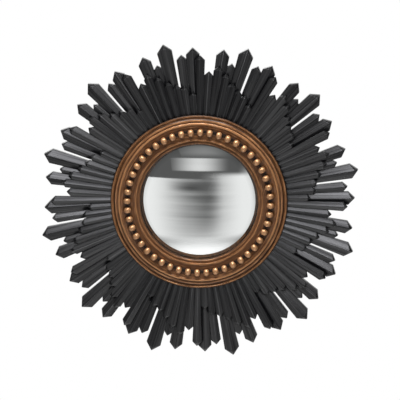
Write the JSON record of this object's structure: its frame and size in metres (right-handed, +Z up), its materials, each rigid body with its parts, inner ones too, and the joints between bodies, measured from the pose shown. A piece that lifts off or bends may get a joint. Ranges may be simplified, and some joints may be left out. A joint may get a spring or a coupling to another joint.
{
  "type": "convex sunburst mirror",
  "caption": "Round wall mirror with a convex glass in a beaded antique-gold ring, surrounded by two tiers of stepped black wooden rays.",
  "frame": {"origin": "where the axis of the mirror meets the wall plane", "axes": "front faces -Y, wall on the +Y side, +Z up, +X to the right as seen from the front"},
  "size_m": [0.5864, 0.0523, 0.5864],
  "materials": {
    "black_lacquered_wood": "satin black lacquer over carved grain",
    "birch_plywood": "raw sanded",
    "gilded_wood": "antique gold leaf, rubbed and toned brown",
    "silvered_glass": "polished, silvered behind",
    "black_felt": "matt",
    "packing_card": "matt",
    "hardboard": "matt",
    "bumper_rubber": "matt",
    "plated_steel": "zinc plated"
  },
  "bodies": {
    "mirror": {"ray_hub": "birch_plywood", "spacer_ring": "birch_plywood", "gilt_ring": "gilded_wood", "beads": "gilded_wood", "mirror_glass": "silvered_glass", "glass_gasket": "black_felt", "packing_ring": "packing_card", "back_panel": "hardboard", "hanger_strap": "plated_steel", "wall_bumpers": "bumper_rubber", "frame_screws": "plated_steel", "button_screws": "plated_steel", "strap_screws": "plated_steel", "back_rays_01": "black_lacquered_wood", "front_rays_01": "black_lacquered_wood", "back_rays_02": "black_lacquered_wood", "front_rays_02": "black_lacquered_wood", "back_rays_03": "black_lacquered_wood", "front_rays_03": "black_lacquered_wood", "back_rays_04": "black_lacquered_wood", "front_rays_04": "black_lacquered_wood", "back_rays_05": "black_lacquered_wood", "front_rays_05": "black_lacquered_wood", "back_rays_06": "black_lacquered_wood", "front_rays_06": "black_lacquered_wood", "back_rays_07": "black_lacquered_wood", "front_rays_07": "black_lacquered_wood", "back_rays_08": "black_lacquered_wood", "front_rays_08": "black_lacquered_wood", "back_rays_09": "black_lacquered_wood", "front_rays_09": "black_lacquered_wood", "back_rays_10": "black_lacquered_wood", "front_rays_10": "black_lacquered_wood", "back_rays_11": "black_lacquered_wood", "front_rays_11": "black_lacquered_wood", "back_rays_12": "black_lacquered_wood", "front_rays_12": "black_lacquered_wood"},
    "hanger_ring": {"hanger_ring": "plated_steel"},
    "turn_button_1": {"turn_button_1": "plated_steel"},
    "turn_button_2": {"turn_button_2": "plated_steel"},
    "turn_button_3": {"turn_button_3": "plated_steel"},
    "turn_button_4": {"turn_button_4": "plated_steel"},
    "turn_button_5": {"turn_button_5": "plated_steel"},
    "turn_button_6": {"turn_button_6": "plated_steel"}
  },
  "joints": [
    {"name": "hanger_ring_swing", "type": "hinge", "parent": "mirror", "child": "hanger_ring", "pos_m": [0, -0.0035, 0.186], "axis": [1, 0, 0], "range_deg": [0, 180]},
    {"name": "turn_button_1_turn", "type": "hinge", "parent": "mirror", "child": "turn_button_1", "pos_m": [0.0655, -0.0051, 0.11345], "axis": [0, 1, 0], "continuous": true},
    {"name": "turn_button_2_turn", "type": "hinge", "parent": "mirror", "child": "turn_button_2", "pos_m": [0.131, -0.0051, 0], "axis": [0, 1, 0], "continuous": true},
    {"name": "turn_button_3_turn", "type": "hinge", "parent": "mirror", "child": "turn_button_3", "pos_m": [0.0655, -0.0051, -0.11345], "axis": [0, 1, 0], "continuous": true},
    {"name": "turn_button_4_turn", "type": "hinge", "parent": "mirror", "child": "turn_button_4", "pos_m": [-0.0655, -0.0051, -0.11345], "axis": [0, 1, 0], "continuous": true},
    {"name": "turn_button_5_turn", "type": "hinge", "parent": "mirror", "child": "turn_button_5", "pos_m": [-0.131, -0.0051, 0], "axis": [0, 1, 0], "continuous": true},
    {"name": "turn_button_6_turn", "type": "hinge", "parent": "mirror", "child": "turn_button_6", "pos_m": [-0.0655, -0.0051, 0.11345], "axis": [0, 1, 0], "continuous": true}
  ]
}
